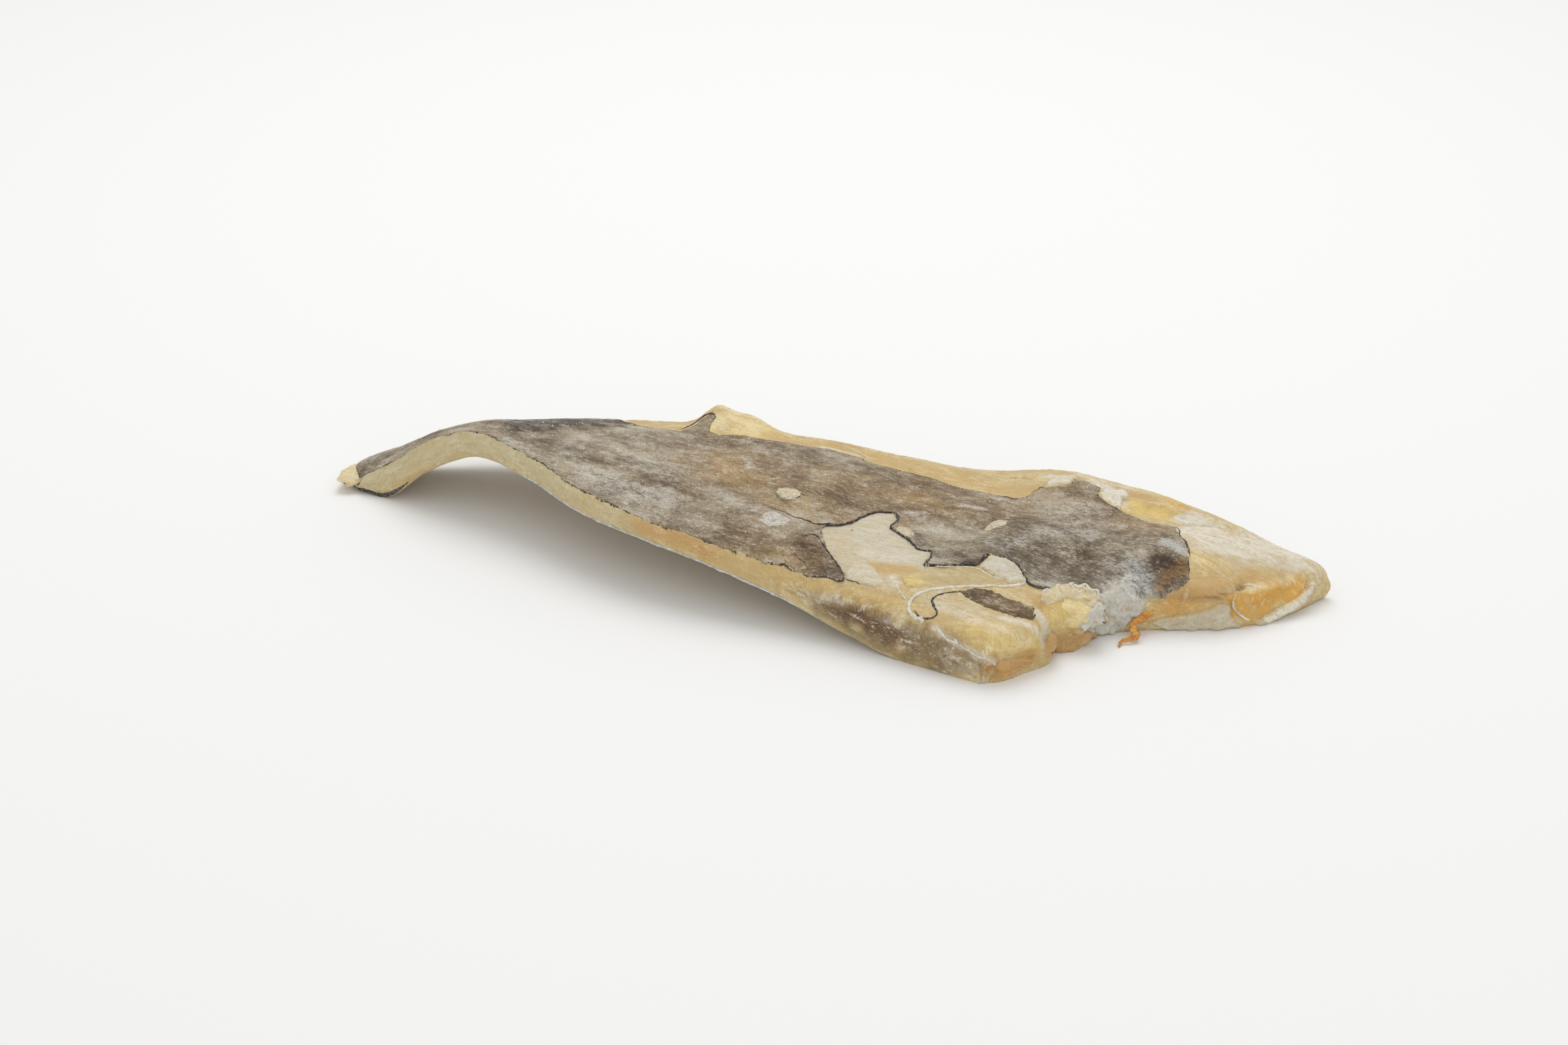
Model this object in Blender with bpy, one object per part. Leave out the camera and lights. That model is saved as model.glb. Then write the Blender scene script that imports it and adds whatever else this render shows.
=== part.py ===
"""One side of salted dried cod, lying skin up, as a single stiff solid.

Frame: +X runs along the fish from its narrow end to the torn wide end, +Y from the cut front
edge to the back edge, +Z up. The origin is under the middle of the piece, on the surface that
it rests on. The piece arches between its two ends, as it dried over another one.
Lengths in the tables are millimetres, and the built mesh is in metres.
"""

import math

import bmesh
import bpy

MM = 0.001

# The middle of the outline in the tables' own frame, which the built mesh has at its origin
MIDDLE_X = 24.1
MIDDLE_Y = -43.0

# Mesh density: steps along the fish, across it and down its edges
STEPS_ALONG = 84
STEPS_ACROSS = 18
STEPS_EDGE = 2

# Stations of the loft: shares of the length, at which the two long edges are given
STATIONS = (0.0, 0.05, 0.12, 0.2, 0.3, 0.4, 0.5, 0.6, 0.7, 0.8, 0.9, 1.0)

# The cut front edge: place across, height of its top line, and thickness of the flesh
FRONT_Y = (-47, -48, -51, -55, -68, -87, -100, -106, -110, -116, -123, -130)
FRONT_TOP = (9, 20, 39, 51, 49, 44, 41, 38, 34, 31, 29, 26)
FRONT_THICK = (8, 20, 18, 15, 15, 14, 12, 14, 18, 25, 31, 28)

# The back edge: the same three
BACK_Y = (-18, -4, 14, 26, 31, 33, 33, 33, 43, 42, 28, 17)
BACK_TOP = (12, 18, 24, 30, 35, 37, 37, 35, 35, 33, 30, 20)
BACK_THICK = (14, 13, 11, 13, 15, 16, 16, 17, 17, 22, 28, 20)

# The two ends: place along the fish, at shares of the width counted from the front edge
LEFT_END = ((0.0, -226), (0.4, -236), (1.0, -228))
RIGHT_END = (
    (0.0, 149),
    (0.04, 158),
    (0.11, 165),
    (0.21, 174),
    (0.28, 171),
    (0.36, 184),
    (0.45, 187),
    (0.54, 206),
    (0.66, 246),
    (0.8, 268),
    (1.0, 284),
)

# Rounding of the top corner along each side
ROUND_FRONT = 1.2
ROUND_SHOULDER = 14.0
SHOULDER_FROM, SHOULDER_TO = 0.62, 0.85
ROUND_BACK = 6.0
ROUND_END = 7.0
ROUND_UNDER = 1.6
EDGE_BULGE = 1.2

# How much the middle of the plate stands above a straight line between its edges, top and under
CROWN_TOP = 3.0
CROWN_UNDER = 4.0

# Swellings and dents of the top: centre, half widths along and across, and height
SWELLINGS = (
    (-49, 34, 10, 13, 11.5),
    (-31, 33, 13, 12, 8.5),
    (-95, 12, 26, 16, -4.0),
    (110, 12, 30, 26, -5.0),
    (146, 26, 22, 18, 4.5),
    (96, -88, 46, 20, 4.0),
    (186, -78, 14, 14, -6.0),
    (212, -20, 30, 14, 4.0),
    (226, 16, 34, 7, -5.0),
    (250, -22, 13, 9, -6.0),
    (272, -4, 10, 10, -5.0),
)


def clamp(x, low=0.0, high=1.0):
    return max(low, min(high, x))


def smooth(x, start, end):
    """0 before start, 1 after end, and an S curve between them."""
    t = clamp((x - start) / (end - start))
    return t * t * (3 - 2 * t)


def along(u, knots, values):
    """A smooth curve through values at the knots (Hermite, with centred slopes)."""
    last = len(knots) - 1
    i = 0
    while i < last - 1 and u > knots[i + 1]:
        i += 1

    def slope(k):
        a, b = max(k - 1, 0), min(k + 1, last)
        return (values[b] - values[a]) / (knots[b] - knots[a])

    span = knots[i + 1] - knots[i]
    t = clamp((u - knots[i]) / span)
    t2, t3 = t * t, t * t * t
    return (
        (2 * t3 - 3 * t2 + 1) * values[i]
        + (t3 - 2 * t2 + t) * span * slope(i)
        + (3 * t2 - 2 * t3) * values[i + 1]
        + (t3 - t2) * span * slope(i + 1)
    )


def rail(u, values):
    return along(u, STATIONS, values)


def end_x(v, outline):
    return along(v, [p[0] for p in outline], [p[1] for p in outline])


def swelling(x, y):
    """Sum of the named swellings, each a smooth bell."""
    total = 0.0
    for cx, cy, rx, ry, height in SWELLINGS:
        total += height * math.exp(-((x - cx) / rx) ** 2 - ((y - cy) / ry) ** 2)
    return total


def waves(x, y):
    """Shallow waves of the dried skin, in millimetres."""
    return (
        0.9 * math.sin(x * 0.061 + y * 0.023 + 0.8)
        + 0.6 * math.sin(x * 0.11 - y * 0.07 + 2.1)
        + 0.4 * math.sin(x * 0.045 + y * 0.16)
    )


def corner_drop(distance, radius):
    """How far a rounded corner of this radius lies below the flat, at a distance from the edge."""
    if distance >= radius:
        return 0.0
    reach = radius - distance
    return radius - math.sqrt(max(radius * radius - reach * reach, 0.0))


def body_point(u, v, w):
    """The point of the fish for a point of the unit box: u along, v across, w from top to under."""
    width = rail(u, BACK_Y) - rail(u, FRONT_Y)
    left, right = end_x(v, LEFT_END), end_x(v, RIGHT_END)
    x = left + u * (right - left)
    y = rail(u, FRONT_Y) + v * width

    front_top, back_top = rail(u, FRONT_TOP), rail(u, BACK_TOP)
    front_under = front_top - rail(u, FRONT_THICK)
    back_under = back_top - rail(u, BACK_THICK)
    belly = 4 * v * (1 - v) * smooth(u, 0.06, 0.3) * (1 - smooth(u, 0.85, 1.0))
    top = front_top + v * (back_top - front_top) + CROWN_TOP * belly + swelling(x, y)
    top += waves(x, y) * (0.35 + 0.65 * belly)
    under = front_under + v * (back_under - front_under) + CROWN_UNDER * belly

    to_front, to_back = v * width, (1 - v) * width
    to_left, to_right = u * (right - left), (1 - u) * (right - left)
    shoulder = smooth(u, SHOULDER_FROM, SHOULDER_TO)
    front_round = ROUND_FRONT + shoulder * (ROUND_SHOULDER - ROUND_FRONT)
    sides = (
        (to_front, front_round),
        (to_back, ROUND_BACK),
        (to_left, ROUND_END),
        (to_right, ROUND_END),
    )
    for distance, radius in sides:
        top -= corner_drop(distance, radius) * 0.75
        under += corner_drop(distance, ROUND_UNDER) * 0.75

    thinnest = 2.0
    under = max(under, 0.0)
    top = max(top, under + thinnest)
    # The edge faces bulge a little between their two lines
    bulge = EDGE_BULGE * 4 * w * (1 - w)
    x += bulge * ((u >= 1.0) - (u <= 0.0))
    y += bulge * ((v >= 1.0) - (v <= 0.0))
    return (x - MIDDLE_X) * MM, (y - MIDDLE_Y) * MM, (top + w * (under - top)) * MM


def spread(share):
    """Moves the mesh lines towards both edges, where the form turns fastest."""
    eased = 0.5 - 0.5 * math.cos(math.pi * share)
    return 0.45 * share + 0.55 * eased


def unit_box():
    """A box of one unit in u, v and w, with the mesh lines of the fish."""
    box = bmesh.new()
    bmesh.ops.create_grid(box, x_segments=STEPS_ALONG, y_segments=STEPS_ACROSS, size=0.5)
    top_faces = list(box.faces)
    grown = bmesh.ops.extrude_face_region(box, geom=top_faces, use_keep_orig=True)
    for item in grown["geom"]:
        if isinstance(item, bmesh.types.BMVert):
            item.co.z = -1.0
    upright = [e for e in box.edges if abs(e.verts[0].co.z - e.verts[1].co.z) > 0.5]
    bmesh.ops.subdivide_edges(box, edges=upright, cuts=STEPS_EDGE, use_grid_fill=True)
    return box


def make_cod():
    box = unit_box()
    for vert in box.verts:
        u, v, w = spread(clamp(vert.co.x + 0.5)), spread(clamp(vert.co.y + 0.5)), -vert.co.z
        vert.co = body_point(u, v, w)
    bmesh.ops.recalc_face_normals(box, faces=box.faces)
    mesh = bpy.data.meshes.new("cod")
    box.to_mesh(mesh)
    box.free()
    mesh.shade_smooth()
    return bpy.data.objects.new("cod", mesh)


def skin_material():
    material = bpy.data.materials.new("salted_cod")
    material.use_nodes = True
    shader = material.node_tree.nodes["Principled BSDF"]
    shader.inputs["Base Color"].default_value = (0.42, 0.35, 0.25, 1)
    shader.inputs["Roughness"].default_value = 0.6
    shader.inputs["Metallic"].default_value = 0.0
    return material


def main():
    for old in list(bpy.data.objects):
        bpy.data.objects.remove(old, do_unlink=True)
    collection = bpy.data.collections.new("salted_dried_cod")
    bpy.context.scene.collection.children.link(collection)
    cod = make_cod()
    cod.data.materials.append(skin_material())
    collection.objects.link(cod)


main()
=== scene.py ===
"""Looks of the salted dried cod: waxy flesh, torn salted skin, membranes and loose bits.

Lengths are millimetres until a mesh is made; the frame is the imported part's own frame.
Places read from the photograph are pixels of its 2352 x 1568 frame, cast onto the form.
"""

import math

import bpy
import numpy as np
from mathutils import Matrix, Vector, noise
from mathutils.bvhtree import BVHTree


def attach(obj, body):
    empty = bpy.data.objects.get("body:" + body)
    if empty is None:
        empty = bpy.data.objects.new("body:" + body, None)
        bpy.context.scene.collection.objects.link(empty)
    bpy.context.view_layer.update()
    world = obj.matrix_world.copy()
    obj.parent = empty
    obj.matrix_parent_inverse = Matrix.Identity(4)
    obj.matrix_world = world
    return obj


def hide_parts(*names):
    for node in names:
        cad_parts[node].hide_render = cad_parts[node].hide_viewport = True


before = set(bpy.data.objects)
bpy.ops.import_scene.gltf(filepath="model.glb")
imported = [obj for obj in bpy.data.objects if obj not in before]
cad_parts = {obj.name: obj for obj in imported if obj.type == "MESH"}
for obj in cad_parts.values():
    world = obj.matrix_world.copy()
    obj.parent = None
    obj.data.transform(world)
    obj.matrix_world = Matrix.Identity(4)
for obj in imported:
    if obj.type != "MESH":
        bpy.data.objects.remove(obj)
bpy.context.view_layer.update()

MM = 0.001

# Camera of the photograph
PHOTO_WIDTH, PHOTO_HEIGHT = 2352, 1568
LENS, SENSOR = 70.0, 36.0
CAMERA_ELEVATION = math.radians(26.0)
CAMERA_AZIMUTH = math.radians(21.0)
CAMERA_DISTANCE = 1600.0

# The floor's width, where the lamps shine, and the light of the surroundings
FLOOR_WIDTH = 24.0
LIT_SPOT = Vector((0.0, 0.0, 0.02))
SKY_STRENGTH = 0.71

# Lamps: name, place and diameter in metres, and power in watts
LAMPS = (
    ("top_light", (-0.25, 0.75, 1.9), 1.6, 15.0),
    ("front_fill", (1.2, -1.8, 1.1), 1.5, 4.5),
)

# The middle of the loft's tables, which the part has at its origin
MIDDLE_X = 24.1
MIDDLE_Y = -43.0
AIM = np.array([-MIDDLE_X, -MIDDLE_Y, 0.0])

# Stations of the loft, and along each long edge: place across, top line and thickness
STATIONS = (0.0, 0.05, 0.12, 0.2, 0.3, 0.4, 0.5, 0.6, 0.7, 0.8, 0.9, 1.0)
FRONT_Y = (-47, -48, -51, -55, -68, -87, -100, -106, -110, -116, -123, -130)
FRONT_TOP = (9, 20, 39, 51, 49, 44, 41, 38, 34, 31, 29, 26)
FRONT_THICK = (8, 20, 18, 15, 15, 14, 12, 14, 18, 25, 31, 28)
BACK_Y = (-18, -4, 14, 26, 31, 33, 33, 33, 43, 42, 28, 17)
BACK_TOP = (12, 18, 24, 30, 35, 37, 37, 35, 35, 33, 30, 20)
BACK_THICK = (14, 13, 11, 13, 15, 16, 16, 17, 17, 22, 28, 20)

# The two ends: shares of the width, and the place along the fish
LEFT_SHARES, LEFT_END = (0.0, 0.4, 1.0), (-226, -236, -228)
RIGHT_SHARES = (0.0, 0.04, 0.11, 0.21, 0.28, 0.36, 0.45, 0.54, 0.66, 0.8, 1.0)
RIGHT_END = (149, 158, 165, 174, 171, 184, 187, 206, 246, 268, 284)

ROUND_FRONT = 1.2
ROUND_SHOULDER = 14.0
SHOULDER_FROM, SHOULDER_TO = 0.62, 0.85
ROUND_BACK = 6.0
ROUND_END = 7.0
ROUND_UNDER = 1.6
EDGE_BULGE = 1.2
CROWN_TOP = 3.0
CROWN_UNDER = 4.0
CORNER_SHARE = 0.75
THINNEST = 2.0
SWELLINGS = (
    (-49, 34, 10, 13, 11.5),
    (-31, 33, 13, 12, 8.5),
    (-95, 12, 26, 16, -4.0),
    (110, 12, 30, 26, -5.0),
    (146, 26, 22, 18, 4.5),
    (96, -88, 46, 20, 4.0),
    (186, -78, 14, 14, -6.0),
    (212, -20, 30, 14, 4.0),
    (226, 16, 34, 7, -5.0),
    (250, -22, 13, 9, -6.0),
    (272, -4, 10, 10, -5.0),
)

# Fine meshes: steps along, across and down the edge, and the skin's own
BODY_STEPS = (380, 112, 10)
SKIN_STEPS = (450, 146)
SKIN_THICK = 0.55

# A place outside every outline of the plan, for the underside
OUTSIDE = 1e4

# Sheets draped over the form: spacing of their rays in pixels, and how deep their backs lie
DRAPE_STEP = 2.0
DRAPE_BACK = 0.4

# Smallest radius of a rope in mm, and the seeds of the films' and the scales' noise
THINNEST_ROPE = 0.1
FILM_SEED, SCALE_SEED = 71, 101

# Shares of the length where the skin and the belly's film reach the edges
SKIN_ON_FRONT = (0.004, 0.655)
SKIN_ON_BACK = (0.24, 0.01)
FILM_ON_FRONT = (0.27, 0.80)


def clamp(x):
    return np.clip(x, 0.0, 1.0)


def smooth(x, start, end):
    """0 before start, 1 after end, and an S curve between them."""
    t = clamp((np.asarray(x, float) - start) / (end - start))
    return t * t * (3 - 2 * t)


def curve(t, knots, values):
    """A smooth curve through values at the knots (Hermite, with centred slopes)."""
    knots, values = np.array(knots, float), np.array(values, float)
    slopes = np.empty_like(values)
    slopes[1:-1] = (values[2:] - values[:-2]) / (knots[2:] - knots[:-2])
    slopes[0] = (values[1] - values[0]) / (knots[1] - knots[0])
    slopes[-1] = (values[-1] - values[-2]) / (knots[-1] - knots[-2])
    i = np.clip(np.searchsorted(knots, t) - 1, 0, len(knots) - 2)
    span = knots[i + 1] - knots[i]
    s = clamp((t - knots[i]) / span)
    s2, s3 = s * s, s * s * s
    return (
        (2 * s3 - 3 * s2 + 1) * values[i]
        + (s3 - 2 * s2 + s) * span * slopes[i]
        + (3 * s2 - 2 * s3) * values[i + 1]
        + (s3 - s2) * span * slopes[i + 1]
    )


def rail(u, values):
    return curve(u, STATIONS, values)


def corner_drop(distance, radius):
    """How far a rounded corner lies below the flat, at a distance from the edge."""
    reach = np.maximum(radius - distance, 0.0)
    return radius - np.sqrt(np.maximum(radius * radius - reach * reach, 0.0))


def loft(u, v, w):
    """Points of the form for u along, v across and w from top to underside."""
    u, v, w = np.broadcast_arrays(u, v, w)
    width = rail(u, BACK_Y) - rail(u, FRONT_Y)
    left = curve(v, LEFT_SHARES, LEFT_END)
    right = curve(v, RIGHT_SHARES, RIGHT_END)
    x = left + u * (right - left)
    y = rail(u, FRONT_Y) + v * width

    front_top, back_top = rail(u, FRONT_TOP), rail(u, BACK_TOP)
    front_under = front_top - rail(u, FRONT_THICK)
    back_under = back_top - rail(u, BACK_THICK)
    belly = 4 * v * (1 - v) * smooth(u, 0.06, 0.3) * (1 - smooth(u, 0.85, 1.0))
    top = front_top + v * (back_top - front_top) + CROWN_TOP * belly
    for cx, cy, rx, ry, height in SWELLINGS:
        top += height * np.exp(-(((x - cx) / rx) ** 2) - ((y - cy) / ry) ** 2)
    waves = (
        0.9 * np.sin(x * 0.061 + y * 0.023 + 0.8)
        + 0.6 * np.sin(x * 0.11 - y * 0.07 + 2.1)
        + 0.4 * np.sin(x * 0.045 + y * 0.16)
    )
    top += waves * (0.35 + 0.65 * belly)
    under = front_under + v * (back_under - front_under) + CROWN_UNDER * belly

    shoulder = smooth(u, SHOULDER_FROM, SHOULDER_TO)
    front_round = ROUND_FRONT + shoulder * (ROUND_SHOULDER - ROUND_FRONT)
    sides = (
        (v * width, front_round),
        ((1 - v) * width, ROUND_BACK),
        (u * (right - left), ROUND_END),
        ((1 - u) * (right - left), ROUND_END),
    )
    for distance, radius in sides:
        top -= corner_drop(distance, radius) * CORNER_SHARE
        under += corner_drop(distance, ROUND_UNDER) * CORNER_SHARE
    under = np.maximum(under, 0.0)
    top = np.maximum(top, under + THINNEST)
    bulge = EDGE_BULGE * 4 * w * (1 - w)
    x = x + bulge * ((u >= 1.0) * 1.0 - (u <= 0.0))
    y = y + bulge * ((v >= 1.0) * 1.0 - (v <= 0.0))
    return np.stack([x - MIDDLE_X, y - MIDDLE_Y, top + w * (under - top)], -1)


def spread(share):
    """Moves mesh lines towards both edges, where the form turns fastest."""
    return 0.45 * share + 0.55 * (0.5 - 0.5 * np.cos(np.pi * share))


def flow_of(u, v, points):
    """Coordinates that follow the form: the plan, and the depth below the top, in millimetres."""
    down = loft(u, v, 0.0)[:, 2] - points[:, 2]
    return np.stack([points[:, 0], points[:, 1], down], -1)


def fractal(points, scale, octaves=3, seed=0):
    """Noise of about -1 to 1 at each point; scale is one number or three, in 1/mm."""
    places = np.asarray(points, float) * np.asarray(scale, float) + 17.3 * seed
    return np.array([noise.fractal(Vector(p), 1.0, 2.0, octaves) for p in places])


def line_distance(points, line):
    """Distance from an open line of points, in space or in the plan."""
    nearest = np.full(len(points), 1e9)
    for start, end in zip(line[:-1], line[1:]):
        along = end - start
        t = clamp(((points - start) @ along) / max(along @ along, 1e-9))
        nearest = np.minimum(nearest, np.linalg.norm(points - start - t[:, None] * along, axis=1))
    return nearest


def signed_distance(points, outline):
    """Distance in the plan from an outline's edge, positive inside it."""
    plan = points[:, :2]
    closed = np.concatenate([outline, outline[:1]])[:, :2]
    inside = np.zeros(len(plan), bool)
    for start, end in zip(closed[:-1], closed[1:]):
        if start[1] != end[1]:
            crosses = (start[1] > plan[:, 1]) != (end[1] > plan[:, 1])
            at = start[0] + (plan[:, 1] - start[1]) * (end[0] - start[0]) / (end[1] - start[1])
            inside ^= crosses & (plan[:, 0] < at)
    nearest = line_distance(plan, closed)
    return np.where(inside, nearest, -nearest)


def pixels(text):
    """The pixels of a line or an outline, written as x,y pairs with spaces between."""
    return np.array([[float(part) for part in pair.split(",")] for pair in text.split()])


def camera_axes():
    """Right, up and backward unit vectors of the photograph's camera."""
    back = np.array([
        math.sin(CAMERA_AZIMUTH) * math.cos(CAMERA_ELEVATION),
        -math.cos(CAMERA_AZIMUTH) * math.cos(CAMERA_ELEVATION),
        math.sin(CAMERA_ELEVATION),
    ])
    right = np.array([math.cos(CAMERA_AZIMUTH), math.sin(CAMERA_AZIMUTH), 0.0])
    return right, np.cross(back, right), back


def camera_ray(pixel):
    """The photograph's eye point and the direction of its ray through a pixel."""
    right, up, back = camera_axes()
    focal = LENS / SENSOR * PHOTO_WIDTH
    across, down = (pixel[0] - PHOTO_WIDTH / 2) / focal, (pixel[1] - PHOTO_HEIGHT / 2) / focal
    ray = -back + across * right - down * up
    return AIM + CAMERA_DISTANCE * back, ray / np.linalg.norm(ray)


def cast(tree, pixel):
    """Point, normal and face where the photograph's ray through a pixel meets a surface."""
    eye, ray = camera_ray(pixel)
    point, normal, index, _ = tree.ray_cast(Vector(eye), Vector(ray))
    if point is None:
        point, normal, index, _ = tree.find_nearest(Vector(eye + ray * CAMERA_DISTANCE))
    return np.array(point), np.array(normal), index


def cast_all(tree, places):
    return np.array([cast(tree, place)[0] for place in places])


def smooth_path(points, steps):
    """A curve through points that were read one by one, with steps points between two of them."""
    knots = np.arange(len(points))
    t = np.linspace(0, len(points) - 1, (len(points) - 1) * steps + 1)
    return np.stack([curve(t, knots, points[:, k]) for k in range(3)], -1)


def grid_faces(rows, columns):
    index = np.arange(rows * columns).reshape(rows, columns)
    corners = index[:-1, :-1], index[1:, :-1], index[1:, 1:], index[:-1, 1:]
    return np.stack([corner.ravel() for corner in corners], -1)


def ring_faces(rows, columns):
    """Quads between rows of vertices that close on themselves."""
    faces = []
    for i in range(rows - 1):
        for k in range(columns):
            a, b = i * columns + k, i * columns + (k + 1) % columns
            faces.append([a, b, b + columns, a + columns])
    return faces


def box_grid(steps_u, steps_v, steps_w):
    """u, v and w of the vertices of a closed unit box, and its quads."""
    u, v = np.meshgrid(
        spread(np.linspace(0, 1, steps_u + 1)), spread(np.linspace(0, 1, steps_v + 1)), indexing="ij"
    )
    index = np.arange(u.size).reshape(u.shape)
    ring = np.concatenate([index[:, 0], index[-1, 1:], index[-2::-1, -1], index[0, -2:0:-1]])
    flat_u, flat_v = u.ravel(), v.ravel()
    all_u, all_v, all_w = [flat_u, flat_u], [flat_v, flat_v], [np.zeros(u.size), np.ones(u.size)]
    levels = [ring]
    for k in range(1, steps_w):
        levels.append(2 * u.size + (k - 1) * len(ring) + np.arange(len(ring)))
        all_u.append(flat_u[ring])
        all_v.append(flat_v[ring])
        all_w.append(np.full(len(ring), k / steps_w))
    levels.append(ring + u.size)
    top = grid_faces(*u.shape)
    quads = [top, top[:, ::-1] + u.size]
    for upper, lower in zip(levels[:-1], levels[1:]):
        quads.append(np.stack([upper, lower, np.roll(lower, -1), np.roll(upper, -1)], -1))
    return np.concatenate(all_u), np.concatenate(all_v), np.concatenate(all_w), np.concatenate(quads)


def normals_of(points, faces):
    """Vertex normals, weighted by the areas of the faces round each vertex."""
    a, b, c = points[faces[:, 0]], points[faces[:, 1]], points[faces[:, 2]]
    face_normals = np.cross(b - a, c - a)
    if faces.shape[1] == 4:
        face_normals += np.cross(c - a, points[faces[:, 3]] - a)
    total = np.zeros_like(points)
    for k in range(faces.shape[1]):
        np.add.at(total, faces[:, k], face_normals)
    return total / np.maximum(np.linalg.norm(total, axis=1, keepdims=True), 1e-12)


def make_object(name, points, faces, fields, material, sharp=50.0):
    """A mesh object in metres, with its fields as vertex attributes, riding on the one body."""
    above_table = np.maximum(points, (-np.inf, -np.inf, 0.0))
    mesh = bpy.data.meshes.new(name)
    mesh.from_pydata((above_table * MM).tolist(), [], faces)
    for field, values in fields.items():
        kind, value_name = ("FLOAT_VECTOR", "vector") if values.ndim == 2 else ("FLOAT", "value")
        made = mesh.attributes.new(field, kind, "POINT")
        made.data.foreach_set(value_name, values.astype(np.float32).ravel())
    mesh.shade_smooth()
    mesh.set_sharp_from_angle(angle=math.radians(sharp))
    mesh.materials.append(material)
    obj = bpy.data.objects.new(name, mesh)
    bpy.context.scene.collection.objects.link(obj)
    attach(obj, "root")
    return obj


def clipped_shell(top, under, quads, depth, fields):
    """A closed shell over the quads where depth is positive, cut along its zero line."""
    triangles = np.concatenate([quads[:, [0, 1, 2]], quads[:, [0, 2, 3]]])
    inside = depth > 0
    count = inside[triangles].sum(1)
    kept = [tuple(t) for t in triangles[count == 3]]
    cuts, made = [], {}

    def cut(a, b):
        key = (min(a, b), max(a, b))
        if key not in made:
            made[key] = len(top) + len(cuts)
            cuts.append((a, b, depth[a] / (depth[a] - depth[b])))
        return made[key]

    for a, b, c in triangles[(count == 1) | (count == 2)]:
        lone = inside[[a, b, c]].sum() == 1
        while inside[a] != lone:
            a, b, c = b, c, a
        if not lone and inside[b] != inside[c]:
            continue
        if lone:
            kept.append((a, cut(a, b), cut(a, c)))
        else:
            first, last = cut(a, b), cut(a, c)
            kept.append((first, b, c))
            kept.append((first, c, last))
    ends = np.array([(a, b) for a, b, _ in cuts], int).reshape(-1, 2)
    share = np.array([t for _, _, t in cuts])

    def extended(values):
        mixed = share if values.ndim == 1 else share[:, None]
        return np.concatenate([values, values[ends[:, 0]] * (1 - mixed) + values[ends[:, 1]] * mixed])

    used, faces = np.unique(np.array(kept), return_inverse=True)
    faces = faces.reshape(-1, 3)
    n = len(used)
    edges = np.concatenate([faces[:, [0, 1]], faces[:, [1, 2]], faces[:, [2, 0]]])
    codes, reverse = edges[:, 0] * n + edges[:, 1], edges[:, 1] * n + edges[:, 0]
    rim = edges[~np.isin(codes, reverse)]
    points = np.concatenate([extended(top)[used], extended(under)[used]])
    walls = np.stack([rim[:, 0], rim[:, 0] + n, rim[:, 1] + n, rim[:, 1]], -1)
    all_faces = faces.tolist() + (faces[:, ::-1] + n).tolist() + walls.tolist()
    both_sides = {}
    for field, values in fields.items():
        both_sides[field] = np.concatenate([extended(values)[used]] * 2)
    return points, all_faces, both_sides


def merge(shapes):
    """Joins (points, faces, fields) shapes into one."""
    points, faces, fields, base = [], [], {}, 0
    for shape_points, shape_faces, shape_fields in shapes:
        points.append(shape_points)
        for face in shape_faces:
            faces.append([int(k) + base for k in face])
        for field, values in shape_fields.items():
            fields.setdefault(field, []).append(values)
        base += len(shape_points)
    return np.concatenate(points), faces, {name: np.concatenate(v) for name, v in fields.items()}


def tube(path, ups, radii, flat=1.0, sides=8):
    """A closed tube along a path; flat squeezes its section along the up vectors."""
    tangents = np.gradient(path, axis=0)
    tangents /= np.maximum(np.linalg.norm(tangents, axis=1, keepdims=True), 1e-9)
    across = np.cross(ups, tangents)
    across /= np.maximum(np.linalg.norm(across, axis=1, keepdims=True), 1e-9)
    lift = np.cross(tangents, across)
    angles = np.linspace(0, 2 * math.pi, sides, endpoint=False)
    rings = (
        path[:, None, :]
        + (radii[:, None] * np.cos(angles))[..., None] * across[:, None, :]
        + (radii[:, None] * flat * np.sin(angles))[..., None] * lift[:, None, :]
    )
    points = rings.reshape(-1, 3)
    faces = ring_faces(len(path), sides)
    faces.append(list(range(sides))[::-1])
    faces.append([(len(path) - 1) * sides + k for k in range(sides)])
    return points, faces, {"flow": points * 1.0}


def blob(centre, radii, seed, rough=0.25, rows=18, columns=24):
    """A closed uneven lump with radii along X, Y and Z."""
    latitudes = np.linspace(-math.pi / 2, math.pi / 2, rows + 1)[1:-1]
    longitudes = np.linspace(0, 2 * math.pi, columns, endpoint=False)
    lat, lon = np.meshgrid(latitudes, longitudes, indexing="ij")
    ball = np.stack([np.cos(lat) * np.cos(lon), np.cos(lat) * np.sin(lon), np.sin(lat)], -1).reshape(-1, 3)
    ball = np.concatenate([ball, [[0, 0, -1.0], [0, 0, 1.0]]])
    ball *= (1 + rough * fractal(ball, 1.3, 3, seed))[:, None]
    faces = ring_faces(rows - 1, columns)
    south, north = len(ball) - 2, len(ball) - 1
    last = (rows - 2) * columns
    for k in range(columns):
        faces.append([(k + 1) % columns, k, south])
        faces.append([last + k, last + (k + 1) % columns, north])
    points = np.asarray(centre, float) + ball * np.asarray(radii, float)
    return points, faces, {"flow": points * 1.0}


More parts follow.
